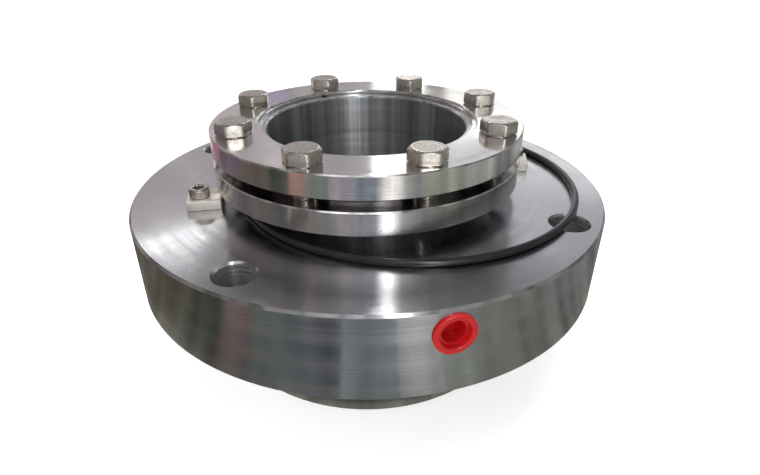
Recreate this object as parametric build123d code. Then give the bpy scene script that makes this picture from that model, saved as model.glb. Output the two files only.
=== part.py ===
from build123d import *
import math
import os

# Cartridge mechanical seal for a vertical shaft, with a shrink disc clamp.
# Z is the shaft axis, upwards to the open air side.  Z = 0 is the face of
# the gland that bolts to the seal housing.  Millimetres and degrees.

# -------------------------------------------------- sleeve and shaft bore
shaft_d = 105.0
sleeve_wall = 3.0
sleeve_recess = 2.5
sleeve_chamfer = 0.8
tail_wall = 6.0
tail_l = 5.0
collar_w = 14.5
collar_t = 12.0
sleeve_ring_section = 3.0

# ---------------------------------------------------------- rotating face
rotating_face_t = 15.0
rotating_face_inset = 0.5
rotating_face_gap = 0.6
face_ring_section = 3.5
face_ring_pocket_l = 5.0
drive_pin_count = 4
drive_pin_d = 4.0
drive_pin_inset = 5.0
drive_pin_in_collar = 8.0
drive_pin_in_face = 5.0
drive_pin_gap = 0.3

# ----------------------------------------------------- floating face stack
floating_gap = 0.06
floating_travel = 2.0
stationary_face_t = 16.0
stationary_face_bore_gap = 3.5
stationary_shoulder_t = 10.0
stationary_shoulder_w = 4.3
stationary_nose_step = 3.5
land_inset = 2.5
land_w = 4.0
land_h = 2.5
stationary_ring_section = 3.5
stationary_ring_below_back = 6.0
groove_side_gap = 0.6
ring_gap = 0.04
spring_plate_t = 3.0
spring_plate_gap = 0.4
spring_plate_lift = 5.0
spring_count = 12
spring_inset = 6.8
spring_d = 4.0
spring_wire = 0.7
spring_turns = 5
spring_hole_gap = 0.4
spring_hole_depth = 10.0
spring_start = 0.0
pin_count = 2
pin_d = 5.0
pin_gap = 0.4
pin_in_rib = 8.0
pin_in_face = 5.0

# ------------------------------------------------------------- snap rings
snap_ring_t = 1.5
snap_groove_side_gap = 0.1
snap_ring_opening = 24.0
snap_gap = 0.05
face_snap_depth = 2.2
face_snap_cover = 2.1
face_snap_below_shoulder = 6.2
face_snap_lip = 1.7
bushing_snap_depth = 1.8
bushing_snap_cover = 3.0
bushing_snap_lip = 0.9

# ------------------------------------------------------ throttle bushing
bushing_t = 5.5
bushing_ledge_w = 3.5
bushing_running_gap = 0.35
bushing_seat_gap = 0.05

# ------------------------------------------------------------------ gland
flange_t = 42.0
flange_chamfer = 1.1
flange_land_w = 34.6
chamber_step = 4.2
spigot_wall = 7.5
spigot_beyond_sleeve = 5.0
spigot_chamfer = 2.0
neck_gap = 3.0
neck_h = 12.0
annulus_step = 2.0
annulus_h = 10.0
bore_mouth_chamfer = 0.8
gland_bolt_edge_w = 15.0
gland_bolt_count = 4
gland_bolt_start = -29.5
gland_bolt_hole_d = 17.6
gland_bolt_chamfer = 1.0

# ------------------------------- housing O-ring, and its groove at the spigot
housing_ring_section = 3.5
housing_ring_fit = 1.6
housing_ring_side_gap = 1.9
housing_ring_squeeze = 0.8
# Lying loose, it passes this far outside the sleeve on its near side.
loose_ring_from_sleeve = 10.7
loose_ring_y = -3.6

# --------------------------------------------------- port in the gland rim
port_angle = -74.9
port_below_face = 11.5
port_thread_d = 16.6
port_depth = 15.0
port_drill_d = 6.0
plug_rim_w = 0.85
plug_flange_t = 1.4
plug_short_of_port = 4.0
plug_shank_gap = 0.15
plug_draft = 1.5
plug_cup_wall = 1.7
plug_cup_depth = 2.4
plug_well_step = 1.4
plug_floor_t = 3.7
plug_edge_r = 0.6

# ------------------------------------------------------- shrink disc clamp
clamp_chamfer = 0.6
clamp_rim_w = 11.5
lower_ring_lift = 7.8
lower_ring_t = 11.6
clamp_gap = 5.0
upper_ring_t = 11.5
taper_max_wall = 3.4
taper_angle = 6.0
taper_end_inset = 1.0
taper_fit = 0.02
taper_slit_w = 3.0
taper_slit_angle = 117.0
clamp_bolt_count = 8
clamp_bolt_from_cone = 10.6
clamp_bolt_start = 21.8
clamp_bolt_d = 10.0
clamp_bolt_l = 25.0
clamp_bolt_hole_gap = 0.5
thread_gap = 0.05
bolt_head_flats = 16.0
bolt_head_h = 6.4
bolt_head_top_d = 14.8
bolt_head_top_chamfer_angle = 30.0
bolt_washer_face_t = 0.4
bolt_point_chamfer = 1.0
# Each head stops where its thread tightened, so no two stand alike.
bolt_head_turns = (6.0, 30.0, 50.0, 32.0, 16.0, 51.0, 3.0, 41.0)

# ------------------------------------------------------------ setting clips
clip_screw_from_ring = 9.0
clip_w = 14.4
clip_t = 5.0
clip_behind_screw = 6.3
clip_under_ring = 2.0
clip_tab_w = 9.0
clip_tab_from_head = 0.6
clip_tab_headroom = 0.3
clip_corner_r = 0.8
clip_hole_gap = 0.25
clip_screw_d = 6.0
clip_screw_l = 14.0
clip_screw_head_d = 10.0
clip_screw_head_h = 5.0
clip_screw_hex = 5.0
clip_screw_hex_depth = 3.0
clip_screw_edge = 0.5
clip_tap_below_screw = 3.0
left_clip_angle = -160.0
left_clip_turn = -11.0
right_clip_angle = 14.0
right_clip_turn = 66.0

# Cutting tools run this far past the faces they open.
cut_over = 1.0

# -------------------------------------------- radii, outwards from the shaft
shaft_r = shaft_d / 2
sleeve_r = shaft_r + sleeve_wall
tail_r = shaft_r + tail_wall
collar_r = sleeve_r + collar_w
rotating_face_r = collar_r - rotating_face_inset
drive_pin_r = collar_r - drive_pin_inset
neck_r = sleeve_r + neck_gap
annulus_r = neck_r + annulus_step
bushing_seat_r = annulus_r + bushing_ledge_w
stationary_bore_r = sleeve_r + stationary_face_bore_gap
land_in_r = stationary_bore_r + land_inset
land_out_r = land_in_r + land_w
stationary_nose_r = land_out_r + stationary_nose_step
floating_bore_r = stationary_nose_r + stationary_shoulder_w
spring_circle_r = floating_bore_r - spring_inset
stationary_ring_mean_r = floating_bore_r - floating_gap + ring_gap + stationary_ring_section / 2
stationary_groove_r = stationary_ring_mean_r + stationary_ring_section / 2 + ring_gap
chamber_r = floating_bore_r + chamber_step
spigot_r = chamber_r + spigot_wall
housing_groove_r = spigot_r + housing_ring_section + housing_ring_side_gap
flange_r = housing_groove_r + flange_land_w
gland_bolt_r = flange_r - gland_bolt_edge_w
housing_ring_mean_r = spigot_r + housing_ring_fit + housing_ring_section / 2
taper_mid_r = sleeve_r + taper_max_wall
clamp_bolt_r = taper_mid_r + clamp_bolt_from_cone
clamp_r = clamp_bolt_r + clamp_rim_w
clip_screw_r = clamp_r + clip_screw_from_ring
clip_nose_reach = clip_screw_from_ring + clip_under_ring
clip_tab_start = clip_screw_head_d / 2 + clip_tab_from_head

# --------------------------------------- heights, downwards from the top face
snap_groove_t = snap_ring_t + snap_groove_side_gap
bushing_top_z = flange_t - bushing_snap_lip - snap_groove_t
bushing_seat_z = bushing_top_z - bushing_t
neck_top_z = bushing_seat_z - annulus_h
rib_underside_z = neck_top_z - neck_h
spring_hole_top_z = rib_underside_z + spring_hole_depth
spring_seat_z = rib_underside_z - spring_plate_lift
stationary_back_z = spring_seat_z - spring_plate_t
stationary_ring_z = stationary_back_z - stationary_ring_below_back
shoulder_z = stationary_back_z - stationary_shoulder_t
face_snap_top_z = shoulder_z - face_snap_below_shoulder
face_snap_groove_z = face_snap_top_z - snap_groove_t
chamber_top_z = face_snap_groove_z - face_snap_lip
rotating_face_z = stationary_back_z - stationary_face_t
collar_top_z = rotating_face_z - rotating_face_t
collar_low_z = collar_top_z - collar_t
sleeve_ring_z = collar_top_z - collar_t / 2
sleeve_end_z = collar_low_z - tail_l
spigot_end_z = sleeve_end_z - spigot_beyond_sleeve
housing_groove_z = housing_ring_section - housing_ring_squeeze
port_z = flange_t - port_below_face

# ----------------------------------------- heights, upwards from the top face
lower_ring_z = flange_t + lower_ring_lift
clamp_gap_z = lower_ring_z + lower_ring_t
taper_mid_z = clamp_gap_z + clamp_gap / 2
upper_ring_z = clamp_gap_z + clamp_gap
clamp_top_z = upper_ring_z + upper_ring_t
sleeve_top_z = clamp_top_z - sleeve_recess
clip_top_z = lower_ring_z - clip_tab_headroom


def turned(*outline):
    """Solid turned about Z from a closed (radius, height) outline."""
    corners = [(r, 0, z) for r, z in outline]
    return revolve(make_face(Polyline(*corners, close=True)), Axis.Z)


def ring(inner_r, outer_r, low_z, high_z):
    """Plain turned ring."""
    return turned((inner_r, low_z), (outer_r, low_z), (outer_r, high_z), (inner_r, high_z))


def o_ring(mean_r, section, z):
    """Round-section rubber ring lying square to the shaft."""
    return Pos(0, 0, z) * Torus(mean_r, section / 2)


def drilled(radius, depth, low_z, mean_r, count, start):
    """Equal upright holes or pins on a circle, each from low_z up."""
    hole = Cylinder(radius, depth, align=(Align.CENTER, Align.CENTER, Align.MIN))
    return [place * hole for place in Pos(0, 0, low_z) * PolarLocations(mean_r, count, start)]


def save(name, shape):
    """Write one node as a STEP file."""
    shape.label = name
    export_step(shape, os.path.join("parts", name + ".step"))


def radial_tool(radius, from_r, to_r):
    """Round tool along the port's axis, between two distances from the shaft."""
    length = to_r - from_r
    tool = Pos(from_r, 0, port_z) * Rot(0, 90, 0) * Cylinder(
        radius, length, align=(Align.CENTER, Align.CENTER, Align.MIN)
    )
    return Rot(0, 0, port_angle) * tool


def clip_place(angle, turn):
    """Place of a clip: at its screw, its nose towards the shaft and then turned."""
    return Rot(0, 0, angle) * Pos(clip_screw_r, 0, flange_t) * Rot(0, 0, 180 + turn)


def gland_flange():
    """Flange, spigot, stepped bore, port and drilled holes, turned from one forging."""
    body = turned(
        (neck_r, rib_underside_z),
        (floating_bore_r, rib_underside_z),
        (floating_bore_r, chamber_top_z),
        (chamber_r, chamber_top_z),
        (chamber_r, spigot_end_z),
        (spigot_r - spigot_chamfer, spigot_end_z),
        (spigot_r, spigot_end_z + spigot_chamfer),
        (spigot_r, housing_groove_z),
        (housing_groove_r, housing_groove_z),
        (housing_groove_r, 0),
        (flange_r - flange_chamfer, 0),
        (flange_r, flange_chamfer),
        (flange_r, flange_t - flange_chamfer),
        (flange_r - flange_chamfer, flange_t),
        (bushing_seat_r + bore_mouth_chamfer, flange_t),
        (bushing_seat_r, flange_t - bore_mouth_chamfer),
        (bushing_seat_r, bushing_seat_z),
        (annulus_r, bushing_seat_z),
        (annulus_r, neck_top_z),
        (neck_r, neck_top_z),
    )
    ring_groove_half = stationary_ring_section / 2 + groove_side_gap
    body -= ring(
        floating_bore_r - cut_over,
        stationary_groove_r,
        stationary_ring_z - ring_groove_half,
        stationary_ring_z + ring_groove_half,
    )
    body -= ring(
        floating_bore_r - cut_over,
        floating_bore_r + face_snap_depth,
        face_snap_groove_z,
        face_snap_top_z,
    )
    body -= ring(
        bushing_seat_r - cut_over,
        bushing_seat_r + bushing_snap_depth,
        bushing_top_z,
        bushing_top_z + snap_groove_t,
    )
    spring_hole_r = spring_d / 2 + spring_hole_gap
    for hole in drilled(
        spring_hole_r, spring_hole_depth, rib_underside_z, spring_circle_r, spring_count, spring_start
    ):
        body -= hole
    for hole in drilled(pin_d / 2, pin_in_rib, rib_underside_z, spring_circle_r, pin_count, pin_start()):
        body -= hole
    for place in PolarLocations(gland_bolt_r, gland_bolt_count, gland_bolt_start):
        body -= place * gland_bolt_hole()
    tap_depth = clip_screw_l - clip_t + clip_tap_below_screw
    for angle in (left_clip_angle, right_clip_angle):
        body -= Rot(0, 0, angle) * Pos(clip_screw_r, 0, flange_t - tap_depth) * Cylinder(
            clip_screw_d / 2 + thread_gap, tap_depth, align=(Align.CENTER, Align.CENTER, Align.MIN)
        )
    body -= radial_tool(port_thread_d / 2, flange_r - port_depth, flange_r + cut_over)
    body -= radial_tool(port_drill_d / 2, annulus_r - cut_over, flange_r)
    return body


def gland_bolt_hole():
    """Through hole for a housing stud, chamfered on top."""
    r = gland_bolt_hole_d / 2
    return turned(
        (0, -cut_over),
        (r, -cut_over),
        (r, flange_t - gland_bolt_chamfer),
        (r + gland_bolt_chamfer, flange_t),
        (r + gland_bolt_chamfer, flange_t + cut_over),
        (0, flange_t + cut_over),
    )


def pin_start():
    """Pins stand midway between two springs."""
    return spring_start + 180 / spring_count


def port_plug():
    """Recessed plastic shipping plug: flange, drafted shank and a stepped cup."""
    shank_r = port_thread_d / 2 - plug_shank_gap
    shank_l = port_depth - plug_short_of_port
    tip_r = shank_r - shank_l * math.tan(math.radians(plug_draft))
    rim_r = port_thread_d / 2 + plug_rim_w
    cup_r = port_thread_d / 2 - plug_cup_wall
    well_r = cup_r - plug_well_step
    cup_z = plug_flange_t - plug_cup_depth
    floor_z = plug_floor_t - shank_l
    plug = turned(
        (0, -shank_l),
        (tip_r, -shank_l),
        (shank_r, 0),
        (rim_r, 0),
        (rim_r, plug_flange_t),
        (cup_r, plug_flange_t),
        (cup_r, cup_z),
        (well_r, cup_z),
        (well_r, floor_z),
        (0, floor_z),
    )
    rim = plug.edges().filter_by(GeomType.CIRCLE).group_by(Axis.Z)[-1]
    plug = fillet(rim, plug_edge_r)
    return Rot(0, 0, port_angle) * Pos(flange_r, 0, port_z) * Rot(0, 90, 0) * plug


def clip_screws():
    """Two socket head cap screws that hold the setting clips."""
    head_r = clip_screw_head_d / 2
    thread_r = clip_screw_d / 2
    screw = turned(
        (0, clip_t - clip_screw_l),
        (thread_r, clip_t - clip_screw_l),
        (thread_r, clip_t),
        (head_r, clip_t),
        (head_r, clip_t + clip_screw_head_h - clip_screw_edge),
        (head_r - clip_screw_edge, clip_t + clip_screw_head_h),
        (0, clip_t + clip_screw_head_h),
    )
    key = RegularPolygon(clip_screw_hex / 2, 6, major_radius=False)
    screw -= Pos(0, 0, clip_t + clip_screw_head_h - clip_screw_hex_depth) * extrude(
        key, clip_screw_hex_depth + cut_over
    )
    places = (
        clip_place(left_clip_angle, left_clip_turn),
        clip_place(right_clip_angle, right_clip_turn),
    )
    return Compound([place * screw for place in places])


def setting_clip():
    """Milled clip: flat plate with a raised tab on the nose that slides under the ring."""
    length = clip_behind_screw + clip_nose_reach
    plate = Pos(clip_nose_reach - length / 2, 0, 0) * extrude(
        RectangleRounded(length, clip_w, clip_corner_r), clip_t
    )
    tab_l = clip_nose_reach - clip_tab_start
    plate += Pos(clip_tab_start + tab_l / 2, 0, 0) * Box(
        tab_l, clip_tab_w, clip_top_z - flange_t, align=(Align.CENTER, Align.CENTER, Align.MIN)
    )
    plate -= Cylinder(clip_screw_d / 2 + clip_hole_gap, 2 * (clip_t + cut_over))
    return plate


def throttle_bushing():
    """Carbon bushing that limits the leak along the sleeve to the open side."""
    inner_r = sleeve_r + bushing_running_gap
    return ring(inner_r, bushing_seat_r - bushing_seat_gap, bushing_seat_z, bushing_top_z)


def snap_ring(bore_r, depth, cover, low_z, opening_angle):
    """Internal retaining ring in a groove of that depth, with an open gap."""
    groove_r = bore_r + depth
    body = ring(bore_r - cover, groove_r - snap_gap, low_z, low_z + snap_ring_t)
    gap = Pos(groove_r, 0, low_z) * Box(groove_r, snap_ring_opening, 2 * (snap_ring_t + cut_over))
    return body - Rot(0, 0, opening_angle) * gap


def anti_rotation_pins():
    """Pins pressed into the gland's rib that keep the stationary face from turning."""
    low_z = stationary_back_z - pin_in_face
    length = rib_underside_z + pin_in_rib - low_z
    return Compound(drilled(pin_d / 2, length, low_z, spring_circle_r, pin_count, pin_start()))


def closing_springs():
    """Small coil springs that press the stationary face down on the rotating one."""
    wire_r = spring_wire / 2
    mean_r = spring_d / 2 - wire_r
    height = spring_hole_top_z - spring_seat_z - spring_wire - 2 * ring_gap
    path = Helix(height / spring_turns, height, mean_r)
    section = Plane(origin=path @ 0, z_dir=path % 0) * RegularPolygon(wire_r, 6)
    coil = Pos(0, 0, spring_seat_z + wire_r + ring_gap) * sweep(section, path, is_frenet=True)
    return Compound([place * coil for place in PolarLocations(spring_circle_r, spring_count, spring_start)])


def spring_plate():
    """Steel ring that spreads the springs' load on the stationary face."""
    outer_r = floating_bore_r - spring_plate_gap
    body = ring(stationary_bore_r, outer_r, stationary_back_z, spring_seat_z)
    for hole in drilled(
        pin_d / 2 + pin_gap, spring_plate_t, stationary_back_z, spring_circle_r, pin_count, pin_start()
    ):
        body -= hole
    return body


def stationary_face():
    """Carbon face ring with a lapped narrow land, free to slide in the gland."""
    outer_r = floating_bore_r - floating_gap
    body = turned(
        (stationary_bore_r, stationary_back_z),
        (outer_r, stationary_back_z),
        (outer_r, shoulder_z),
        (stationary_nose_r, shoulder_z),
        (stationary_nose_r, rotating_face_z + land_h),
        (land_out_r, rotating_face_z + land_h),
        (land_out_r, rotating_face_z),
        (land_in_r, rotating_face_z),
        (land_in_r, rotating_face_z + land_h),
        (stationary_bore_r, rotating_face_z + land_h),
    )
    pin_hole_depth = pin_in_face + floating_travel + pin_gap
    pin_hole_z = stationary_back_z - pin_hole_depth
    for hole in drilled(
        pin_d / 2 + pin_gap, pin_hole_depth, pin_hole_z, spring_circle_r, pin_count, pin_start()
    ):
        body -= hole
    return body


def shaft_sleeve():
    """Sleeve on the shaft with the collar that carries the rotating face."""
    body = turned(
        (shaft_r, sleeve_end_z + sleeve_chamfer),
        (shaft_r + sleeve_chamfer, sleeve_end_z),
        (tail_r - sleeve_chamfer, sleeve_end_z),
        (tail_r, sleeve_end_z + sleeve_chamfer),
        (tail_r, collar_low_z),
        (collar_r - sleeve_chamfer, collar_low_z),
        (collar_r, collar_low_z + sleeve_chamfer),
        (collar_r, collar_top_z - sleeve_chamfer),
        (collar_r - sleeve_chamfer, collar_top_z),
        (sleeve_r, collar_top_z),
        (sleeve_r, sleeve_top_z),
        (shaft_r + sleeve_chamfer, sleeve_top_z),
        (shaft_r, sleeve_top_z - sleeve_chamfer),
    )
    groove_half = sleeve_ring_section / 2 + groove_side_gap
    body -= ring(
        shaft_r - cut_over,
        shaft_r + sleeve_ring_section + 2 * ring_gap,
        sleeve_ring_z - groove_half,
        sleeve_ring_z + groove_half,
    )
    for hole in drilled(
        drive_pin_d / 2,
        drive_pin_in_collar,
        collar_top_z - drive_pin_in_collar,
        drive_pin_r,
        drive_pin_count,
        0,
    ):
        body -= hole
    return body


def rotating_face():
    """Hard face ring on the sleeve, with an O-ring pocket and drive holes in its back."""
    inner_r = sleeve_r + rotating_face_gap
    pocket_r = sleeve_r + face_ring_section + 2 * ring_gap
    pocket_z = collar_top_z + face_ring_pocket_l
    body = turned(
        (inner_r, rotating_face_z),
        (rotating_face_r, rotating_face_z),
        (rotating_face_r, collar_top_z),
        (pocket_r, collar_top_z),
        (pocket_r, pocket_z),
        (inner_r, pocket_z),
    )
    for hole in drilled(
        drive_pin_d / 2 + drive_pin_gap,
        drive_pin_in_face + drive_pin_gap,
        collar_top_z,
        drive_pin_r,
        drive_pin_count,
        0,
    ):
        body -= hole
    return body


def drive_pins():
    """Pins pressed into the collar that turn the rotating face with the sleeve."""
    low_z = collar_top_z - drive_pin_in_collar
    length = drive_pin_in_collar + drive_pin_in_face
    return Compound(drilled(drive_pin_d / 2, length, low_z, drive_pin_r, drive_pin_count, 0))


def taper_r(z):
    """Outside radius of the tapered ring at a height."""
    return taper_mid_r - abs(z - taper_mid_z) * math.tan(math.radians(taper_angle))


def taper_ring():
    """Slit inner ring of the shrink disc, thickest in the middle."""
    low_z = lower_ring_z + taper_end_inset
    high_z = clamp_top_z - taper_end_inset
    body = turned(
        (sleeve_r + taper_fit, low_z),
        (taper_r(low_z), low_z),
        (taper_mid_r, taper_mid_z),
        (taper_r(high_z), high_z),
        (sleeve_r + taper_fit, high_z),
    )
    slit = Rot(0, 0, taper_slit_angle) * Pos(taper_mid_r, 0, taper_mid_z) * Box(
        2 * (taper_max_wall + cut_over), taper_slit_w, high_z - low_z + 2 * cut_over
    )
    return body - slit


def clamp_ring(low_z, high_z, hole_r):
    """Thick ring with a cone bore that bears on the tapered ring, and its bolt holes."""
    low_r = taper_r(low_z) + taper_fit
    high_r = taper_r(high_z) + taper_fit
    body = turned(
        (low_r, low_z),
        (clamp_r - clamp_chamfer, low_z),
        (clamp_r, low_z + clamp_chamfer),
        (clamp_r, high_z - clamp_chamfer),
        (clamp_r - clamp_chamfer, high_z),
        (high_r, high_z),
    )
    narrow = body.edges().filter_by(GeomType.CIRCLE).sort_by(lambda edge: edge.radius)[0]
    body = chamfer(narrow, clamp_chamfer)
    for hole in drilled(hole_r, high_z - low_z, low_z, clamp_bolt_r, clamp_bolt_count, clamp_bolt_start):
        body -= hole
    return body


def hex_bolt(head_turn):
    """Hexagon head bolt standing on the upper ring, with its thread as a plain shank."""
    flat_r = bolt_head_flats / 2
    corner_r = flat_r / math.cos(math.radians(30))
    top_r = bolt_head_top_d / 2
    slope_h = (corner_r - top_r) * math.tan(math.radians(bolt_head_top_chamfer_angle))
    head = extrude(RegularPolygon(flat_r, 6, major_radius=False), bolt_head_h)
    blank = turned(
        (0, 0),
        (flat_r, 0),
        (flat_r, bolt_washer_face_t),
        (corner_r, bolt_washer_face_t),
        (corner_r, bolt_head_h - slope_h),
        (top_r, bolt_head_h),
        (0, bolt_head_h),
    )
    r = clamp_bolt_d / 2
    shank = turned(
        (0, -clamp_bolt_l),
        (r - bolt_point_chamfer, -clamp_bolt_l),
        (r, bolt_point_chamfer - clamp_bolt_l),
        (r, 0),
        (0, 0),
    )
    return Rot(0, 0, head_turn) * (head & blank) + shank


def clamp_bolts():
    """The bolts that draw the two clamp rings together."""
    places = Pos(0, 0, clamp_top_z) * PolarLocations(
        clamp_bolt_r, clamp_bolt_count, clamp_bolt_start, rotate=False
    )
    return Compound([place * hex_bolt(turn) for place, turn in zip(places, bolt_head_turns)])


def housing_o_ring():
    """Housing O-ring, not yet in its groove: it lies loose on the gland's top face."""
    x = housing_ring_mean_r - sleeve_r - loose_ring_from_sleeve
    z = flange_t + housing_ring_section / 2
    return Pos(x, loose_ring_y, 0) * o_ring(housing_ring_mean_r, housing_ring_section, z)


os.makedirs("parts", exist_ok=True)

save("gland_flange", gland_flange())
save("port_plug", port_plug())
save("housing_o_ring", housing_o_ring())
save("clip_screws", clip_screws())
save("setting_clip_left", clip_place(left_clip_angle, left_clip_turn) * setting_clip())
save("setting_clip_right", clip_place(right_clip_angle, right_clip_turn) * setting_clip())
save("throttle_bushing", throttle_bushing())
save(
    "bushing_snap_ring",
    snap_ring(bushing_seat_r, bushing_snap_depth, bushing_snap_cover, bushing_top_z, port_angle),
)
save(
    "face_snap_ring",
    snap_ring(floating_bore_r, face_snap_depth, face_snap_cover, face_snap_top_z - snap_ring_t, 0),
)
save("anti_rotation_pins", anti_rotation_pins())
save("closing_springs", closing_springs())
save("spring_plate", spring_plate())
save("stationary_face", stationary_face())
save(
    "stationary_face_o_ring",
    o_ring(stationary_ring_mean_r, stationary_ring_section, stationary_ring_z),
)
save("shaft_sleeve", shaft_sleeve())
save(
    "sleeve_o_ring",
    o_ring(shaft_r + ring_gap + sleeve_ring_section / 2, sleeve_ring_section, sleeve_ring_z),
)
save("rotating_face", rotating_face())
save(
    "rotating_face_o_ring",
    o_ring(
        sleeve_r + ring_gap + face_ring_section / 2,
        face_ring_section,
        collar_top_z + face_ring_pocket_l / 2,
    ),
)
save("drive_pins", drive_pins())
save("taper_ring", taper_ring())
save("lower_clamp_ring", clamp_ring(lower_ring_z, clamp_gap_z, clamp_bolt_d / 2 + thread_gap))
save(
    "upper_clamp_ring",
    clamp_ring(upper_ring_z, clamp_top_z, clamp_bolt_d / 2 + clamp_bolt_hole_gap),
)
save("clamp_bolts", clamp_bolts())
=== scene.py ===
import bmesh
import bpy
import math
from mathutils import Euler, Matrix, Vector


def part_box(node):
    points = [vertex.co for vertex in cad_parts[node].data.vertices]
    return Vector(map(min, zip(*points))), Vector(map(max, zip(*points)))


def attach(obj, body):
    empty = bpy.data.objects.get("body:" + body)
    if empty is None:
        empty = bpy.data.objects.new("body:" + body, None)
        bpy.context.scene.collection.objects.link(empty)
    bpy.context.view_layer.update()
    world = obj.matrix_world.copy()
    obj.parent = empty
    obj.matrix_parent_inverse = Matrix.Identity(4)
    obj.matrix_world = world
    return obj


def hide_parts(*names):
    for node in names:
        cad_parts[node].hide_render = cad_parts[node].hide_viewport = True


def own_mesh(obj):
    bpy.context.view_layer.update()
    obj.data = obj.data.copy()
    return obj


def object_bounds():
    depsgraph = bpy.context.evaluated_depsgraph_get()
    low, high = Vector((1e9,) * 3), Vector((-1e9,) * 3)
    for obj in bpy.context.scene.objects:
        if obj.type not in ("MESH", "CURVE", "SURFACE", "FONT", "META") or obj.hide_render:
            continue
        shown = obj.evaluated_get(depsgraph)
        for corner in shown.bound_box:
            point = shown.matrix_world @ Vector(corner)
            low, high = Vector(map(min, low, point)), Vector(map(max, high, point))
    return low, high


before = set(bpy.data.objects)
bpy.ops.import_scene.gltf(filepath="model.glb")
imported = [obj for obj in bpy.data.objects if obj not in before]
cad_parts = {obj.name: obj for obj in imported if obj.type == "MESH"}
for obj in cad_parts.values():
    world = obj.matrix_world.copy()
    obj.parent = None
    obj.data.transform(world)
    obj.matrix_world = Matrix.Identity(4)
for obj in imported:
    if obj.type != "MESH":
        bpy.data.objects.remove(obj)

cad_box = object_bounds()
mm = 0.001

# Camera.  It looks down on the seal from the front, from a third of a metre
# away, with the shaft axis just left of the middle.
camera_target = Vector((-0.0006, 0.0, 0.00537))
camera_distance = 0.31997
camera_elevation = math.radians(29.04)
camera_roll = math.radians(-0.54)

camera_data = bpy.data.cameras.new("camera")
camera_data.sensor_width = 36.0
camera_data.lens = 25.49
camera_data.shift_x = 0.0184
camera_data.shift_y = -0.001
camera_data.clip_start = 0.01
camera = bpy.data.objects.new("camera", camera_data)
bpy.context.scene.collection.objects.link(camera)
camera.rotation_euler = (
    Euler((math.radians(90) - camera_elevation, 0, 0)).to_matrix() @ Matrix.Rotation(camera_roll, 3, "Z")
).to_euler()
camera.location = camera_target + camera_distance * Vector(
    (0, -math.cos(camera_elevation), math.sin(camera_elevation))
)
bpy.context.scene.camera = camera
bpy.context.scene.view_settings.view_transform = "Standard"


# Bench.  A wide white sheet under the seal.  It keeps the seal's soft shadow
# and runs out to the white surroundings.
def node(tree, kind, inputs=(), **settings):
    """Adds a shader node.  Each input is a plain value or another node's output."""
    made = tree.nodes.new(kind)
    for name, value in settings.items():
        setattr(made, name, value)
    for key, value in dict(inputs).items():
        if isinstance(value, bpy.types.NodeSocket):
            tree.links.new(value, made.inputs[key])
        else:
            made.inputs[key].default_value = value
    return made


def material(name):
    """An empty material, with its tree and its output node."""
    made = bpy.data.materials.new(name)
    made.use_nodes = True
    made.node_tree.nodes.clear()
    return made, made.node_tree, made.node_tree.nodes.new("ShaderNodeOutputMaterial")


def looked_at(tree):
    """1 for rays from the camera, from mirror images and through glass, and 0 for others."""
    seen = node(tree, "ShaderNodeLightPath").outputs
    lit = node(tree, "ShaderNodeMath", {0: seen["Is Camera Ray"], 1: seen["Is Glossy Ray"]})
    lit = node(tree, "ShaderNodeMath", {0: lit.outputs[0], 1: seen["Is Transmission Ray"]}, use_clamp=True)
    return lit.outputs[0]


bench_z = cad_box[0][2]
bench_r = 12.0
bench_gap = 0.02 * mm
bench_white = 0.86
bench_glow = 0.68
bench_mesh = bpy.data.meshes.new("bench")
shape = bmesh.new()
bmesh.ops.create_circle(shape, cap_ends=True, segments=96, radius=bench_r)
bmesh.ops.translate(shape, verts=shape.verts, vec=(0, 0, bench_z - bench_gap))
shape.to_mesh(bench_mesh)
shape.free()
bench = bpy.data.objects.new("bench", bench_mesh)
bpy.context.scene.collection.objects.link(bench)
bench_material, tree, out = material("white_bench")
paper = node(tree, "ShaderNodeBsdfDiffuse", {"Color": (bench_white, bench_white, bench_white, 1)})
glow = node(tree, "ShaderNodeEmission", {"Color": (1, 1, 1, 1), "Strength": bench_glow})
both = node(tree, "ShaderNodeAddShader", {0: paper.outputs[0], 1: glow.outputs[0]})
mix = node(tree, "ShaderNodeMixShader", {0: looked_at(tree), 1: paper.outputs[0], 2: both.outputs[0]})
tree.links.new(mix.outputs[0], out.inputs["Surface"])
bench_mesh.materials.append(bench_material)


# Light.  A soft white room, one large lamp overhead and a weaker one from
# the left front.
world = bpy.data.worlds.new("white_room")
bpy.context.scene.world = world
world.use_nodes = True
tree = world.node_tree
tree.nodes.clear()
out = tree.nodes.new("ShaderNodeOutputWorld")
soft = node(tree, "ShaderNodeBackground", {"Color": (1, 1, 1, 1), "Strength": 0.45})
white = node(tree, "ShaderNodeBackground", {"Color": (1, 1, 1, 1), "Strength": 1.0})
mix = node(tree, "ShaderNodeMixShader", {0: looked_at(tree), 1: soft.outputs[0], 2: white.outputs[0]})
tree.links.new(mix.outputs[0], out.inputs["Surface"])


def soft_lamp(name, place, size, power):
    """A square lamp that faces the seal and isn't mirrored in the steel."""
    lamp = bpy.data.lights.new(name, "AREA")
    lamp.size = size
    lamp.energy = power
    made = bpy.data.objects.new(name, lamp)
    bpy.context.scene.collection.objects.link(made)
    made.location = place
    made.rotation_euler = Vector(place).to_track_quat("Z", "Y").to_euler()
    made.visible_glossy = False


soft_lamp("lamp_overhead", (0.15, 0.25, 1.1), 0.9, 7.0)
soft_lamp("lamp_left", (-0.9, -0.6, 0.8), 0.7, 4.0)


# Reflector boards.  Curved boards round the bench, most with an apron on the
# ground that runs in to the seal, and lit strips and windows just in front of
# them.  Polished steel needs something to mirror, and only mirrors show them.
board_r = 1.5
window_r = 1.45
apron_mid_r = 0.27
apron_end_r = 1 * mm
apron_z = bench_z + 0.1 * mm
rise_steps = 5
turn_steps = 8


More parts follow.
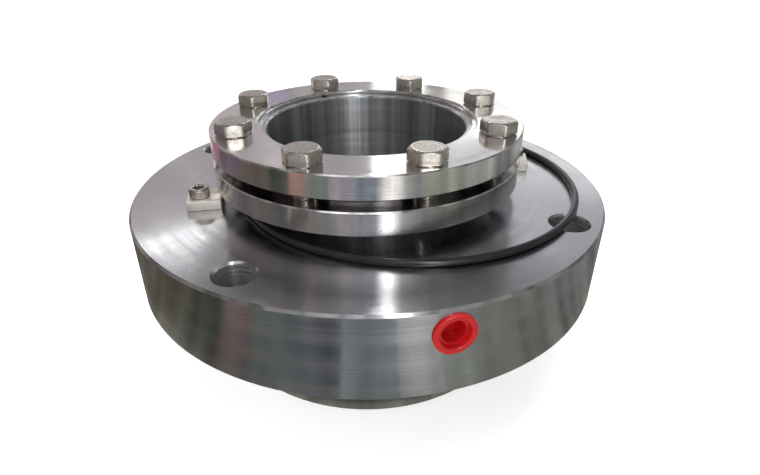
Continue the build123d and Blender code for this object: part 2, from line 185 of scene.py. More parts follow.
def spread(tree, value, low, high, from_min=0.3, from_max=0.7):
    """Maps a noise's middle values, or those given, to the range from low to high."""
    made = node(
        tree,
        "ShaderNodeMapRange",
        {"Value": value, "From Min": from_min, "From Max": from_max, "To Min": low, "To Max": high},
    )
    return made.outputs[0]


def paint_board(name, colour):
    """Glowing paint, a little uneven as cloth and cards are."""
    paint, tree, out = material(name)
    place = node(tree, "ShaderNodeTexCoord").outputs["Object"]
    way = node(tree, "ShaderNodeVectorMath", {0: place}, operation="NORMALIZE")
    folds = node(tree, "ShaderNodeTexNoise", {"Vector": way.outputs[0], "Scale": 9.0, "Detail": 4.0})
    level = spread(tree, folds.outputs["Fac"], 0.45, 1.55, 0.25, 0.75)
    glow = node(tree, "ShaderNodeEmission", {"Color": (*colour, 1), "Strength": level})
    tree.links.new(glow.outputs[0], out.inputs["Surface"])
    return paint


def stand_unseen(name, mesh):
    """Puts a board up so that only mirror images show it."""
    made = bpy.data.objects.new(name, mesh)
    bpy.context.scene.collection.objects.link(made)
    made.visible_camera = False
    made.visible_diffuse = False
    made.visible_transmission = False
    made.visible_shadow = False


def board(name, turn, rise, colour, far=None, near=None, stand_r=board_r):
    """A board from one turn and rise to another, in degrees as seen from the seal.

    far and near, where given, are the colours of its apron, away from the seal and close to it."""
    rise_step = (rise[1] - rise[0]) / rise_steps
    rises = [math.radians(rise[0] + step * rise_step) for step in range(rise_steps + 1)]
    edge_line = [(stand_r * math.cos(e), max(stand_r * math.sin(e), apron_z)) for e in rises]
    if far:
        edge_line = [(apron_end_r, apron_z), (apron_mid_r, apron_z), (board_r, apron_z)] + edge_line
    start = math.radians(turn[0])
    mesh = bpy.data.meshes.new(name)
    sheet = bmesh.new()
    posts = [sheet.verts.new((r * math.cos(start), r * math.sin(start), z)) for r, z in edge_line]
    rails = [sheet.edges.new(pair) for pair in zip(posts, posts[1:])]
    sweep = math.radians(turn[1] - turn[0])
    bmesh.ops.spin(
        sheet,
        geom=posts + rails,
        cent=(0, 0, 0),
        axis=(0, 0, 1),
        angle=sweep,
        steps=turn_steps,
        use_merge=False,
    )
    for face in sheet.faces:
        lies = face.calc_center_median()
        if far and lies.z < apron_z + 1 * mm:
            face.material_index = 2 if lies.xy.length < apron_mid_r else 1
    sheet.to_mesh(mesh)
    sheet.free()
    mesh.materials.append(paint_board(name + "_paint", colour))
    if far:
        mesh.materials.append(paint_board(name + "_far_paint", far))
        mesh.materials.append(paint_board(name + "_near_paint", near))
    stand_unseen(name, mesh)


# Turn is measured from +X towards +Y, and the camera stands at turn -90.
# Boards that start at the rise low stand on the ground.  Those at the back
# start at foot, on top of a row of low boards.
low = -1.8
foot = 8
board("board_back_right", (55, 80), (foot, 18), (1.0, 0.99, 0.96))
board("board_back_window", (55, 80), (18, 21.6), (1.9, 1.9, 1.86))
board("board_back_upper", (55, 80), (21.6, 33), (0.64, 0.65, 0.68))
board("board_back_gap", (80, 82.5), (foot, 33), (0.35, 0.34, 0.33))
board("board_back_sill", (82.5, 89.1), (foot, 15), (0.95, 0.92, 0.90))
board("board_back_strip", (82.5, 89.1), (15, 33), (1.7, 1.7, 1.68))
board("board_back_grey", (89.1, 100), (foot, 34), (0.46, 0.44, 0.45))
board("board_back_left", (100, 122), (foot, 34), (0.60, 0.555, 0.57))
board("board_back_shelf", (55, 80), (low, foot), (0.45, 0.45, 0.44),
      far=(0.45, 0.45, 0.44), near=(0.30, 0.30, 0.29))
board("board_back_door", (80, 100), (low, foot), (0.60, 0.55, 0.53),
      far=(0.55, 0.50, 0.48), near=(0.35, 0.31, 0.30))
board("board_back_crate", (100, 122), (low, foot), (0.30, 0.24, 0.23),
      far=(0.48, 0.36, 0.36), near=(0.28, 0.22, 0.20))
board("board_high_strip", (85.2, 88.7), (31.5, 48), (11.0, 11.0, 10.8), stand_r=window_r)
board("board_high_side", (80.6, 82.2), (33, 46), (1.3, 1.3, 1.15), stand_r=window_r)
board("board_high_window", (112.5, 126), (28.9, 30.2), (5.0, 5.0, 5.0), stand_r=window_r)
board("board_ceiling_light", (222, 304), (56, 66), (1.7, 1.62, 1.6), stand_r=window_r)
board("board_back_purple", (99.4, 102.6), (14.6, 18), (0.36, 0.31, 0.52), stand_r=window_r)
board("board_high_edge", (105.2, 106.1), (30.5, 38), (3.0, 3.0, 2.9), stand_r=window_r)
board("board_left_white", (122, 134), (low, 34), (0.62, 0.56, 0.54),
      far=(1.08, 0.84, 0.90), near=(0.36, 0.28, 0.22))
board("board_left_pink", (134, 150), (low, 50), (0.46, 0.38, 0.36),
      far=(0.46, 0.20, 0.28), near=(0.24, 0.185, 0.14))
board("board_left_brown", (150, 166), (low, 50), (0.40, 0.37, 0.34),
      far=(0.15, 0.12, 0.14), near=(0.16, 0.14, 0.115))
board("board_left_purple", (166, 180), (low, 50), (0.22, 0.19, 0.21),
      far=(0.21, 0.15, 0.21), near=(0.13, 0.12, 0.09))
board("board_left_olive", (180, 206), (low, 50), (0.30, 0.27, 0.25),
      far=(0.15, 0.12, 0.095), near=(0.125, 0.12, 0.085))
board("board_left_green", (206, 221), (low, 50), (0.22, 0.23, 0.22),
      far=(0.08, 0.092, 0.077), near=(0.095, 0.10, 0.085))
board("board_left_copper", (221, 232), (low, 50), (0.50, 0.42, 0.40),
      far=(0.52, 0.30, 0.26), near=(0.19, 0.15, 0.14))
board("board_front_green", (232, 248), (low, 50), (0.42, 0.42, 0.40),
      far=(0.25, 0.29, 0.26), near=(0.14, 0.16, 0.16))
board("board_front_rose", (248, 262), (low, 50), (0.64, 0.60, 0.62),
      far=(0.42, 0.38, 0.43), near=(0.10, 0.115, 0.125))
board("board_front_blue", (262, 279), (low, 50), (0.66, 0.69, 0.75),
      far=(0.21, 0.25, 0.31), near=(0.24, 0.27, 0.28))
board("board_front_white", (279, 292), (low, 76), (2.7, 2.7, 2.65),
      far=(1.06, 1.00, 0.94), near=(0.48, 0.49, 0.47))
board("board_front_strip", (280.5, 288), (25, 62), (8.0, 8.0, 7.8), stand_r=window_r)
board("board_front_grey", (292, 306), (low, 50), (0.80, 0.80, 0.75),
      far=(0.34, 0.36, 0.35), near=(0.30, 0.32, 0.28))
board("board_front_olive", (306, 334), (low, 50), (0.42, 0.43, 0.40),
      far=(0.42, 0.42, 0.34), near=(0.22, 0.235, 0.20))
board("board_right_grey", (334, 362), (low, 50), (0.32, 0.33, 0.31),
      far=(0.44, 0.46, 0.43), near=(0.20, 0.21, 0.19))
board("board_right_dark", (362, 385), (low, 50), (0.22, 0.22, 0.22),
      far=(0.27, 0.26, 0.25), near=(0.17, 0.18, 0.165))
board("board_right_pale", (25, 55), (low, 20), (0.36, 0.36, 0.35),
      far=(0.43, 0.43, 0.42), near=(0.22, 0.22, 0.18))
board("board_right_upper", (25, 55), (20, 50), (0.36, 0.36, 0.36))
board("board_ceiling_left", (90, 279), (50, 89), (0.26, 0.26, 0.27))
board("board_ceiling_back", (84, 134), (34, 50), (0.22, 0.22, 0.23))
board("board_ceiling_side", (55, 84), (33, 50), (0.19, 0.19, 0.19))
board("board_ceiling_right", (-68, 90), (50, 89), (0.28, 0.28, 0.29))

# The ground under the seal as mirror images see it, painted dark as the seal's shade, with the flange's shade
# painted on it as a darker ring.
shade_start_r = 91.2 * mm
shade_end_r = 128 * mm
under_r = 170 * mm
under_z = apron_z + 0.1 * mm
under_mesh = bpy.data.meshes.new("board_under")
ground = bmesh.new()
posts = [ground.verts.new((r, 0, under_z)) for r in (apron_end_r, shade_start_r, shade_end_r, under_r)]
rails = [ground.edges.new(pair) for pair in zip(posts, posts[1:])]
bmesh.ops.spin(
    ground,
    geom=posts + rails,
    cent=(0, 0, 0),
    axis=(0, 0, 1),
    angle=math.radians(360),
    steps=96,
    use_merge=True,
)
for face in ground.faces:
    face.material_index = int(shade_start_r < face.calc_center_median().xy.length < shade_end_r)
ground.to_mesh(under_mesh)
ground.free()
# Painted shade: the ground is dark where the seal shades it, and darker still in a ring under the flange.
under_mesh.materials.append(paint_board("board_under_painted_shade", (0.25, 0.24, 0.205)))
under_mesh.materials.append(paint_board("board_shade_paint", (0.05, 0.05, 0.045)))
stand_unseen("board_under", under_mesh)


# Turned stainless steel.  The round parts are turned on a lathe, so fine marks
# run round the shaft axis and mirror images are drawn out across them.  There
# are faint clouds from cloths, knocks on the chamfers and coarse drilled walls.
def group(name, inputs, outputs):
    """A node group with float inputs and float outputs, and its two end nodes."""
    made = bpy.data.node_groups.new(name, "ShaderNodeTree")
    for label, value in inputs.items():
        socket = made.interface.new_socket(label, in_out="INPUT", socket_type="NodeSocketFloat")
        socket.default_value = value
    for label in outputs:
        made.interface.new_socket(label, in_out="OUTPUT", socket_type="NodeSocketFloat")
    return made, made.nodes.new("NodeGroupInput"), made.nodes.new("NodeGroupOutput")


def calc(tree, first, second, operation="ADD"):
    """One sum, product or other step with two numbers or masks."""
    return node(tree, "ShaderNodeMath", {0: first, 1: second}, operation=operation).outputs[0]


def noise_along(tree, distance, looks):
    """Noise that changes along one distance or angle only."""
    made = node(tree, "ShaderNodeTexNoise", {"W": distance, **looks}, noise_dimensions="1D")
    return made.outputs["Fac"]


# Flatness is 1 on faces square to the axis, 0 on upright walls, and between
# them on chamfers.
chamfer_flatness = 0.7
chamfer_range = 0.2
lathe_marks, start, end = group(
    "lathe_marks", {"Pitch mm": 0.8}, ("Line", "Band", "Cloud", "Streak", "Flat", "Worn edge")
)
place = node(lathe_marks, "ShaderNodeTexCoord").outputs["Object"]
xyz = node(lathe_marks, "ShaderNodeSeparateXYZ", {0: place})
flat = node(lathe_marks, "ShaderNodeCombineXYZ", {"X": xyz.outputs["X"], "Y": xyz.outputs["Y"]})
radius = node(lathe_marks, "ShaderNodeVectorMath", {0: flat.outputs[0]}, operation="LENGTH")
along = calc(lathe_marks, radius.outputs["Value"], xyz.outputs["Z"], "SUBTRACT")
turns = calc(lathe_marks, calc(lathe_marks, along, 1 / mm, "MULTIPLY"), start.outputs["Pitch mm"], "DIVIDE")
angle = calc(lathe_marks, xyz.outputs["Y"], xyz.outputs["X"], "ARCTAN2")
line = noise_along(lathe_marks, turns, {"Scale": 1.0, "Detail": 1.0})
band = noise_along(lathe_marks, turns, {"Scale": 0.13, "Detail": 3.0})
streak = noise_along(lathe_marks, angle, {"Scale": 5.5, "Detail": 5.0, "Roughness": 0.7})
dents = noise_along(lathe_marks, angle, {"Scale": 9.0, "Detail": 2.0, "Roughness": 0.5})
cloud = node(
    lathe_marks, "ShaderNodeTexNoise", {"Vector": place, "Scale": 48.0, "Detail": 5.0, "Roughness": 0.62}
)
facing = node(lathe_marks, "ShaderNodeNewGeometry").outputs["Normal"]
facing = node(lathe_marks, "ShaderNodeSeparateXYZ", {0: facing})
flat_side = node(lathe_marks, "ShaderNodeMath", {0: facing.outputs["Z"]}, operation="ABSOLUTE").outputs[0]
slanted = node(
    lathe_marks, "ShaderNodeMath", {0: flat_side, 1: chamfer_flatness, 2: chamfer_range}, operation="COMPARE"
)
worn = calc(lathe_marks, spread(lathe_marks, dents, 0, 1, 0.44, 0.70), slanted.outputs[0], "MULTIPLY")
for label, mask in (
    ("Line", line),
    ("Band", band),
    ("Cloud", cloud.outputs["Fac"]),
    ("Streak", streak),
    ("Flat", flat_side),
    ("Worn edge", worn),
):
    lathe_marks.links.new(mask, end.inputs[label])


def blend_colours(tree, mask, first, second):
    """Mixes two colours, each a value or another node's output, by a mask."""
    made = tree.nodes.new("ShaderNodeMix")
    made.data_type = "RGBA"
    tree.links.new(mask, made.inputs[0])
    for socket, colour in ((6, first), (7, second)):
        if isinstance(colour, bpy.types.NodeSocket):
            tree.links.new(colour, made.inputs[socket])
        else:
            made.inputs[socket].default_value = (*colour, 1)
    return made.outputs[2]


def drill_mask(tree, flat_side, inner_r, outer_r):
    """Where the walls of the holes are, with the drill's coarse rings."""
    place = node(tree, "ShaderNodeTexCoord").outputs["Object"]
    xyz = node(tree, "ShaderNodeSeparateXYZ", {0: place})
    level = node(tree, "ShaderNodeCombineXYZ", {"X": xyz.outputs["X"], "Y": xyz.outputs["Y"]})
    off_axis = node(tree, "ShaderNodeVectorMath", {0: level.outputs[0]}, operation="LENGTH").outputs["Value"]
    past_inner = calc(tree, off_axis, inner_r, "GREATER_THAN")
    within_outer = calc(tree, off_axis, outer_r, "LESS_THAN")
    upright = calc(tree, flat_side, 0.5, "LESS_THAN")
    wall = calc(tree, calc(tree, past_inner, within_outer, "MULTIPLY"), upright, "MULTIPLY")
    rings = noise_along(tree, xyz.outputs["Z"], {"Scale": 900.0, "Detail": 2.0})
    return calc(tree, wall, spread(tree, rings, 0.3, 1.0, 0.42, 0.6), "MULTIPLY")


band_share = 0.35
line_share = 0.24
worn_share = 0.7
cloth_rough = 0.06
honing_and_reflection_tone = (0.26, 0.275, 0.30)
drilled_tone = (0.38, 0.38, 0.37)
drilled_rough = 0.2
drilled_metal = 0.4


def darker(colour, share):
    """The colour at a share of its brightness."""
    return [share * part for part in colour]


def turned_steel(name, pale, dark, pitch, rough, depth_mm, drawn, honing_and_reflection_streaks=0.0, lapped=0.07, drilled=None):
    """Lathe-turned stainless, in two tones.

    pitch and depth_mm are those of its marks in millimetres, rough is its roughness from and to, and
    drawn is how far mirror images are drawn out.  The argument after drawn is how strong the upright
    walls' streaks are, part honing marks and part painted reflection streaks; lapped is how much
    smoother flat sides are, and drilled the radii between which its holes lie."""
    made, tree, out = material(name)
    marks = node(tree, "ShaderNodeGroup", node_tree=lathe_marks)
    marks.inputs["Pitch mm"].default_value = pitch
    line, band, cloud, streak, flat, worn = marks.outputs

    tone = blend_colours(tree, spread(tree, cloud, 0, 1), pale, dark)
    tone = blend_colours(tree, spread(tree, band, 0, band_share), tone, dark)
    off_flats = calc(tree, 1.0, calc(tree, flat, 0.7, "MULTIPLY"), "SUBTRACT")
    line_tone = calc(tree, spread(tree, line, 0, line_share), off_flats, "MULTIPLY")
    tone = blend_colours(tree, line_tone, tone, darker(dark, 0.6))
    # Upright stripes on the walls, part honing marks and part painted reflection streaks, darken the tone by
    # angle round the axis.
    if honing_and_reflection_streaks:
        streaks = spread(tree, streak, honing_and_reflection_streaks, 0, 0.38, 0.62)
        upright = calc(tree, 1.0, flat, "SUBTRACT")
        tone = blend_colours(tree, calc(tree, streaks, upright, "MULTIPLY"), tone, honing_and_reflection_tone)
    tone = blend_colours(tree, calc(tree, worn, worn_share, "MULTIPLY"), tone, darker(dark, 0.35))

    smear = spread(tree, cloud, 0, cloth_rough, 0.5, 0.75)
    rough_now = calc(tree, spread(tree, band, *rough), smear)
    rough_now = calc(tree, rough_now, calc(tree, flat, lapped, "MULTIPLY"), "SUBTRACT")
    metal = 1.0
    if drilled:
        hole = drill_mask(tree, flat, *drilled)
        tone = blend_colours(tree, hole, tone, drilled_tone)
        rough_now = calc(tree, rough_now, calc(tree, hole, drilled_rough, "MULTIPLY"))
        metal = spread(tree, hole, 1.0, drilled_metal, 0, 1)
    bump = node(tree, "ShaderNodeBump", {"Strength": 1.0, "Distance": depth_mm * mm, "Height": line})
    tangent = node(tree, "ShaderNodeTangent", direction_type="RADIAL", axis="Z")
    steel = node(
        tree,
        "ShaderNodeBsdfPrincipled",
        {
            "Base Color": tone,
            "Metallic": metal,
            "Roughness": rough_now,
            "Anisotropic": drawn,
            "Anisotropic Rotation": 0.25,
            "Tangent": tangent.outputs[0],
            "Normal": bump.outputs[0],
        },
    )
    tree.links.new(steel.outputs[0], out.inputs["Surface"])
    return made


def dress(finish, *names):
    """Gives a finish to CAD parts."""
    for name in names:
        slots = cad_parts[name].data.materials
        slots.clear()
        slots.append(finish)


flange_steel = turned_steel(
    "flange_steel",
    pale=(0.57, 0.575, 0.585),
    dark=(0.49, 0.50, 0.52),
    pitch=0.9,
    rough=(0.17, 0.26),
    depth_mm=0.004,
    drawn=0.88,
    lapped=0.04,
    drilled=(98 * mm, 123.4 * mm),
)
dress(flange_steel, "gland_flange", "spring_plate")
ring_steel = turned_steel(
    "ring_steel",
    pale=(0.78, 0.76, 0.75),
    dark=(0.66, 0.65, 0.65),
    pitch=0.75,
    rough=(0.16, 0.24),
    depth_mm=0.004,
    drawn=0.76,
    honing_and_reflection_streaks=0.3,
)
dress(ring_steel, "upper_clamp_ring", "lower_clamp_ring", "taper_ring")
sleeve_steel = turned_steel(
    "sleeve_steel",
    pale=(0.66, 0.675, 0.69),
    dark=(0.53, 0.545, 0.565),
    pitch=0.6,
    rough=(0.30, 0.40),
    depth_mm=0.003,
    drawn=0.9,
    honing_and_reflection_streaks=0.8,
)
dress(sleeve_steel, "shaft_sleeve")


# Clamp bolts.  Eight steel hexagon bolts draw the rings together.  Their heads
# are cold-formed and bare on top, and their threads show in the gap.
def skin(mesh, rows, around, place):
    """Pulls a ring of edges up through the rows, caps both ends and adds the shape to the mesh.

    Each row gives the radius and the height at an angle."""
    turned_part = bmesh.new()
    ring = bmesh.ops.create_circle(turned_part, cap_ends=False, segments=around, radius=1.0)["verts"]
    edges = list({edge for vert in ring for edge in vert.link_edges})
    ends = [edges]
    for number, row in enumerate(rows):
        if number:
            pulled = bmesh.ops.extrude_edge_only(turned_part, edges=edges)["geom"]
            ring = [part for part in pulled if isinstance(part, bmesh.types.BMVert)]
            fresh = set(ring)
            edges = [part for part in pulled if isinstance(part, bmesh.types.BMEdge)]
            edges = [edge for edge in edges if fresh >= set(edge.verts)]
        for vert in ring:
            angle = math.atan2(vert.co.y, vert.co.x)
            r, z = row(angle)
            vert.co = (r * math.cos(angle), r * math.sin(angle), z)
    ends.append(edges)
    for rim in ends:
        bmesh.ops.edgeloop_fill(turned_part, edges=rim)
    bmesh.ops.transform(turned_part, matrix=place, verts=turned_part.verts)
    bmesh.ops.recalc_face_normals(turned_part, faces=turned_part.faces)
    carrier = bpy.data.meshes.new("carrier")
    turned_part.to_mesh(carrier)
    turned_part.free()
    mesh.from_mesh(carrier)
    bpy.data.meshes.remove(carrier)


def finish_piece(name, mesh, finish, body, replaced, sharp=38):
    """Makes the mesh a piece: smooth but for its sharp edges, dressed, and in the CAD part's place."""
    data = bpy.data.meshes.new(name)
    mesh.to_mesh(data)
    mesh.free()
    data.shade_smooth()
    data.set_sharp_from_angle(angle=math.radians(sharp))
    data.materials.append(finish)
    piece = bpy.data.objects.new(name, data)
    bpy.context.scene.collection.objects.link(piece)
    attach(piece, body)
    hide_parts(replaced)
    return piece


worn_corner_reach = 1.127


def hexagon_r(angle, flats, turn):
    """Distance from the axis to a hexagon's side, its corners a little worn."""
    off = (angle - turn) % math.radians(60) - math.radians(30)
    return min(flats / 2 / math.cos(off), flats / 2 * worn_corner_reach)


ring_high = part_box("upper_clamp_ring")[1]
bolt_low, bolt_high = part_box("clamp_bolts")
bolt_circle_r = ring_high[0] - 11.5 * mm
bolt_start = math.radians(21.8)
bolt_turns = (6, 30, 50, 32, 16, 51, 3, 41)
bolt_corners = 72
head_flats = 16.0 * mm
head_h = bolt_high[2] - ring_high[2]
head_top_r = 7.4 * mm
head_slope = math.tan(math.radians(30))
head_edge = 0.22 * mm
washer_face_h = 0.4 * mm
washer_face_r = head_flats / 2 - 0.3 * mm
washer_face_slope = 0.15 * mm
head_rim_in = 0.35 * mm
head_rim_out = 0.1 * mm
head_rim_drop = 0.06 * mm
dish_r = head_top_r - 1.6 * mm
dish_depth = 0.12 * mm
shank_r = 5.0 * mm
point_r = shank_r - 1.0 * mm
thread_pitch = 1.5 * mm
thread_depth = 0.8 * mm
rows_a_turn = 6
point_rows = 4
shank_rows = 2


def bolt_rows(turn):
    """The bolt's outline from its point up to the shallow dish in its head."""
    def side(z, inset=0.0):
        return lambda angle: (hexagon_r(angle, head_flats, turn) - inset, z)

    def thread(z):
        def row(angle):
            phase = (z / thread_pitch - angle / (2 * math.pi)) % 1.0
            return shank_r - thread_depth * abs(2 * phase - 1), z
        return row

    def chamfer(inset, drop):
        def row(angle):
            r = hexagon_r(angle, head_flats, turn) - inset
            return r, head_h - (r - head_top_r) * head_slope - drop
        return row

    length = ring_high[2] - bolt_low[2]
    rows = [lambda angle: (point_r, -length)]
    steps = int(length / (thread_pitch / rows_a_turn))
    for step in range(point_rows, steps - shank_rows):
        rows.append(thread(-length + step * thread_pitch / rows_a_turn))
    rows.append(lambda angle: (shank_r, 0.0))
    rows.append(lambda angle: (washer_face_r, 0.0))
    rows.append(lambda angle: (washer_face_r + washer_face_slope, washer_face_h))
    rows.append(side(washer_face_h, head_edge))
    rows.append(side(washer_face_h + head_edge))
    rows.append(chamfer(0.0, head_edge))
    rows.append(chamfer(head_edge, 0.0))
    rows.append(lambda angle: (head_top_r + head_rim_out, head_h - head_rim_drop))
    rows.append(lambda angle: (head_top_r - head_rim_in, head_h))
    rows.append(lambda angle: (dish_r, head_h - dish_depth))
    return rows


bolts = bmesh.new()
for number, turn in enumerate(bolt_turns):
    angle = bolt_start + number * math.radians(360 / len(bolt_turns))
    spot = Vector((bolt_circle_r * math.cos(angle), bolt_circle_r * math.sin(angle), ring_high[2]))
    skin(bolts, bolt_rows(math.radians(turn)), bolt_corners, Matrix.Translation(spot))

bolt_steel, tree, out = material("bolt_steel")
place = node(tree, "ShaderNodeTexCoord").outputs["Object"]
dull = node(tree, "ShaderNodeTexNoise", {"Vector": place, "Scale": 260.0, "Detail": 6.0, "Roughness": 0.65})
pits = node(tree, "ShaderNodeTexVoronoi", {"Vector": place, "Scale": 900.0, "Randomness": 1.0})
stretched = node(tree, "ShaderNodeMapping", {"Vector": place, "Scale": (350, 350, 2600)})
die_marks = node(tree, "ShaderNodeTexNoise", {"Vector": stretched.outputs[0], "Scale": 1.0, "Detail": 3.0})
tone = blend_colours(tree, spread(tree, dull.outputs["Fac"], 0, 1), (0.66, 0.62, 0.57), (0.40, 0.37, 0.34))
height = calc(tree, dull.outputs["Fac"], calc(tree, die_marks.outputs["Fac"], 0.35, "MULTIPLY"))
height = calc(tree, height, spread(tree, pits.outputs["Distance"], -0.5, 0, 0, 0.25))
bump = node(tree, "ShaderNodeBump", {"Strength": 1.0, "Distance": 0.05 * mm, "Height": height})
steel = node(
    tree,
    "ShaderNodeBsdfPrincipled",
    {
        "Base Color": tone,
        "Metallic": 1.0,
        "Roughness": spread(tree, dull.outputs["Fac"], 0.16, 0.38),
        "Normal": bump.outputs[0],
    },
)
tree.links.new(steel.outputs[0], out.inputs["Surface"])
finish_piece("threaded_clamp_bolts", bolts, bolt_steel, "rotor", "clamp_bolts")


# Clip screws.  Two socket head cap screws of the bolts' steel hold the clips.
# Their heads are knurled, and they thread into the flange.
screw_low, screw_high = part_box("clip_screws")
screw_circle_r = ring_high[0] + 9.0 * mm
screw_angles = (-160.0, 14.0)
socket_turns = (10, 35)
knurl_count = 44
knurl_corners = 4 * knurl_count
knurl_depth = 0.16 * mm
screw_head_r = 5.0 * mm
screw_head_h = 5.0 * mm
socket_flats = 5.0 * mm
socket_depth = 3.0 * mm
socket_cone_r = 1.2 * mm
socket_cone_h = 0.5 * mm
screw_thread_r = 3.0 * mm
screw_point_r = screw_thread_r - 0.8 * mm
screw_neck = 2.2 * mm
screw_pitch = 1.0 * mm
screw_thread_depth = 0.45 * mm
screw_rows_a_turn = 5
screw_point_rows = 4
screw_neck_rows = 12
seat_round = 0.5 * mm
knurl_end = 0.6 * mm
knurl_top = 0.9 * mm
socket_mouth = 0.65 * mm
socket_lead = 0.12 * mm


def screw_rows(turn):
    """The screw's outline from its point, up round the head and down into the socket."""
    def knurl(z, inset=0.0, depth=knurl_depth):
        def row(angle):
            wave = abs(2 * ((angle * knurl_count / (2 * math.pi)) % 1.0) - 1)
            return screw_head_r - inset - depth * wave, z
        return row

    def thread(z):
        def row(angle):
            phase = (z / screw_pitch - angle / (2 * math.pi)) % 1.0
            return screw_thread_r - screw_thread_depth * abs(2 * phase - 1), z
        return row

    def socket(z, extra=0.0):
        return lambda angle: (hexagon_r(angle, socket_flats, turn) + extra, z)

    seat = screw_high[2] - screw_head_h
    top = screw_high[2]
    rows = [lambda angle: (screw_point_r, screw_low[2])]
    steps = int((seat - screw_low[2]) / (screw_pitch / screw_rows_a_turn))
    for step in range(screw_point_rows, steps - screw_neck_rows):
        rows.append(thread(screw_low[2] + step * screw_pitch / screw_rows_a_turn))
    rows.append(lambda angle: (screw_thread_r, seat - screw_neck))
    rows.append(lambda angle: (screw_thread_r, seat))
    rows.append(knurl(seat, seat_round, 0.0))
    rows.append(knurl(seat + seat_round, 0.05 * mm, 0.0))
    rows.append(knurl(seat + knurl_end))
    rows.append(knurl(top - knurl_top))
    rows.append(knurl(top - 0.75 * mm, 0.05 * mm, 0.0))
    rows.append(knurl(top - 0.35 * mm, 0.12 * mm, 0.0))
    rows.append(knurl(top, 0.55 * mm, 0.0))
    rows.append(lambda angle: (socket_flats / 2 + socket_mouth, top))
    rows.append(socket(top - 0.25 * mm, socket_lead))
    rows.append(socket(top - 0.45 * mm))
    rows.append(socket(top - socket_depth))
    rows.append(lambda angle: (socket_cone_r, top - socket_depth - socket_cone_h))
    return rows


screws = bmesh.new()
for turn, angle in zip(socket_turns, map(math.radians, screw_angles)):
    spot = Vector((screw_circle_r * math.cos(angle), screw_circle_r * math.sin(angle), 0))
    skin(screws, screw_rows(math.radians(turn)), knurl_corners, Matrix.Translation(spot))
finish_piece("knurled_clip_screws", screws, bolt_steel, "gland", "clip_screws", sharp=30)


# Setting clips.  Small milled steel clips that hold the sleeve at its place
# until the seal is fitted.  Their edges are broken with a file.
file_width = 0.4 * mm
merge_distance = 0.001 * mm


def softened(node_name, width):
    """The CAD part's mesh, joined up and with its edges broken."""
    mesh = bmesh.new()
    mesh.from_mesh(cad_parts[node_name].data)
    bmesh.ops.remove_doubles(mesh, verts=mesh.verts, dist=merge_distance)
    bmesh.ops.dissolve_limit(mesh, angle_limit=math.radians(1), verts=mesh.verts, edges=mesh.edges)
    sharp = [e for e in mesh.edges if e.is_manifold and e.calc_face_angle() > math.radians(40)]
    bmesh.ops.bevel(
        mesh,
        geom=sharp,
        offset=width,
        affect="EDGES",
        segments=2,
        profile=0.5,
        material=-1,
        clamp_overlap=True,
    )
    return mesh


clip_steel, tree, out = material("clip_steel")
place = node(tree, "ShaderNodeTexCoord").outputs["Object"]
cutter_way = (0, 0, 0.4)
milled = node(tree, "ShaderNodeMapping", {"Vector": place, "Rotation": cutter_way, "Scale": (160, 2200, 700)})
grain = node(tree, "ShaderNodeTexNoise", {"Vector": milled.outputs[0], "Scale": 1.0, "Detail": 2.0})
stain = node(tree, "ShaderNodeTexNoise", {"Vector": place, "Scale": 190.0, "Detail": 4.0})
tone = blend_colours(tree, spread(tree, stain.outputs["Fac"], 0, 1), (0.93, 0.87, 0.80), (0.74, 0.69, 0.63))
bump = node(tree, "ShaderNodeBump", {"Strength": 1.0, "Distance": 0.006 * mm, "Height": grain.outputs["Fac"]})
steel = node(
    tree,
    "ShaderNodeBsdfPrincipled",
    {
        "Base Color": tone,
        "Metallic": 0.6,
        "Roughness": spread(tree, grain.outputs["Fac"], 0.34, 0.50),
        "Normal": bump.outputs[0],
    },
)
tree.links.new(steel.outputs[0], out.inputs["Surface"])
for side in ("left", "right"):
    name = "setting_clip_" + side
    finish_piece("filed_" + name, softened(name, file_width), clip_steel, "clip_" + side, name)


# Rubber rings.  Smooth black moulded rubber with a soft sheen, some dust and
# faint handling marks.
black_rubber, tree, out = material("black_rubber")
place = node(tree, "ShaderNodeTexCoord").outputs["Object"]
pores = node(tree, "ShaderNodeTexNoise", {"Vector": place, "Scale": 1500.0, "Detail": 3.0})
dust = node(tree, "ShaderNodeTexNoise", {"Vector": place, "Scale": 3800.0, "Detail": 2.0})
wipe = node(tree, "ShaderNodeTexNoise", {"Vector": place, "Scale": 70.0, "Detail": 4.0})
specks = spread(tree, dust.outputs["Fac"], 0, 0.5, 0.66, 0.74)
wiped = spread(tree, wipe.outputs["Fac"], 0, 1)
tone = blend_colours(tree, wiped, (0.006, 0.007, 0.010), (0.016, 0.018, 0.023))
tone = blend_colours(tree, specks, tone, (0.16, 0.16, 0.16))
bump = node(tree, "ShaderNodeBump", {"Strength": 0.6, "Distance": 0.01 * mm, "Height": pores.outputs["Fac"]})
rubber = node(
    tree,
    "ShaderNodeBsdfPrincipled",
    {
        "Base Color": tone,
        "Roughness": spread(tree, wipe.outputs["Fac"], 0.13, 0.26),
        "IOR": 1.52,
        "Normal": bump.outputs[0],
    },
)
tree.links.new(rubber.outputs[0], out.inputs["Surface"])
dress(black_rubber, "housing_o_ring", "sleeve_o_ring", "rotating_face_o_ring", "stationary_face_o_ring")


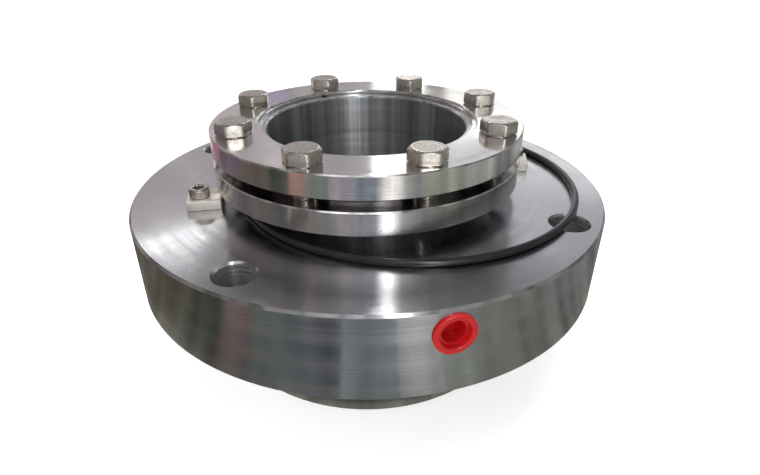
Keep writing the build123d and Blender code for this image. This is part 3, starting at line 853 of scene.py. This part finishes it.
# Port plug.  Moulded in glossy red plastic that lets a little light in, its
# skin slightly rippled by the mould and uneven in shade.
red_plastic, tree, out = material("red_plastic")
place = node(tree, "ShaderNodeTexCoord").outputs["Object"]
ripple = node(tree, "ShaderNodeTexNoise", {"Vector": place, "Scale": 420.0, "Detail": 2.0})
cloudy = node(tree, "ShaderNodeTexNoise", {"Vector": place, "Scale": 130.0, "Detail": 4.0})
shade = spread(tree, cloudy.outputs["Fac"], 0, 1)
tone = blend_colours(tree, shade, (0.90, 0.022, 0.026), (0.74, 0.014, 0.018))
bump = node(tree, "ShaderNodeBump", {"Strength": 1.0, "Distance": 0.03 * mm, "Height": ripple.outputs["Fac"]})
plastic = node(
    tree,
    "ShaderNodeBsdfPrincipled",
    {
        "Base Color": tone,
        "Roughness": spread(tree, cloudy.outputs["Fac"], 0.14, 0.30),
        "IOR": 1.5,
        "Subsurface Weight": 0.4,
        "Subsurface Radius": (1.0, 0.08, 0.08),
        "Subsurface Scale": 2.5 * mm,
        "Normal": bump.outputs[0],
    },
)
tree.links.new(plastic.outputs[0], out.inputs["Surface"])
dress(red_plastic, "port_plug")


# Faces and bushing.  The floating face and the bushing are carbon graphite,
# grey-black with fine grains.  The rotating face is lapped silicon carbide.
def ceramic(name, pale, dark, grain_scale, rough):
    """A dark finish with fine grains, its roughness from rough[0] to rough[1]."""
    made, tree, out = material(name)
    place = node(tree, "ShaderNodeTexCoord").outputs["Object"]
    grains = node(tree, "ShaderNodeTexVoronoi", {"Vector": place, "Scale": grain_scale})
    mottle = node(tree, "ShaderNodeTexNoise", {"Vector": place, "Scale": 90.0, "Detail": 5.0})
    grain_tone = spread(tree, grains.outputs["Distance"], 0, 0.5, 0, 0.6)
    grain_tone = calc(tree, grain_tone, mottle.outputs["Fac"], "MULTIPLY")
    tone = blend_colours(tree, spread(tree, grain_tone, 0, 1, 0.05, 0.25), pale, dark)
    relief = grains.outputs["Distance"]
    bump = node(tree, "ShaderNodeBump", {"Strength": 0.5, "Distance": 0.004 * mm, "Height": relief})
    rough_now = spread(tree, mottle.outputs["Fac"], *rough)
    body = node(
        tree,
        "ShaderNodeBsdfPrincipled",
        {"Base Color": tone, "Roughness": rough_now, "Normal": bump.outputs[0]},
    )
    tree.links.new(body.outputs[0], out.inputs["Surface"])
    return made


carbon = ceramic("carbon", (0.055, 0.055, 0.06), (0.025, 0.025, 0.028), 2600.0, (0.30, 0.46))
dress(carbon, "throttle_bushing", "stationary_face")
silicon_carbide = ceramic("silicon_carbide", (0.13, 0.13, 0.14), (0.07, 0.07, 0.08), 3600.0, (0.12, 0.22))
dress(silicon_carbide, "rotating_face")


# Springs, pins and snap rings.  Drawn and ground spring steel, bright, with
# fine marks left by the drawing die.
spring_steel, tree, out = material("spring_steel")
place = node(tree, "ShaderNodeTexCoord").outputs["Object"]
die = node(tree, "ShaderNodeTexNoise", {"Vector": place, "Scale": 2400.0, "Detail": 3.0})
tint = node(tree, "ShaderNodeTexNoise", {"Vector": place, "Scale": 240.0, "Detail": 3.0})
tone = blend_colours(tree, spread(tree, tint.outputs["Fac"], 0, 1), (0.66, 0.65, 0.63), (0.48, 0.46, 0.43))
bump = node(tree, "ShaderNodeBump", {"Strength": 0.7, "Distance": 0.004 * mm, "Height": die.outputs["Fac"]})
steel = node(
    tree,
    "ShaderNodeBsdfPrincipled",
    {
        "Base Color": tone,
        "Metallic": 1.0,
        "Roughness": spread(tree, tint.outputs["Fac"], 0.18, 0.34),
        "Normal": bump.outputs[0],
    },
)
tree.links.new(steel.outputs[0], out.inputs["Surface"])
dress(spring_steel, "face_snap_ring", "bushing_snap_ring", "anti_rotation_pins", "drive_pins")

coils = bmesh.new()
coils.from_mesh(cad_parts["closing_springs"].data)
bmesh.ops.remove_doubles(coils, verts=coils.verts, dist=merge_distance)
springs = finish_piece(
    "coiled_closing_springs", coils, spring_steel, "gland", "closing_springs", sharp=60
)
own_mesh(springs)
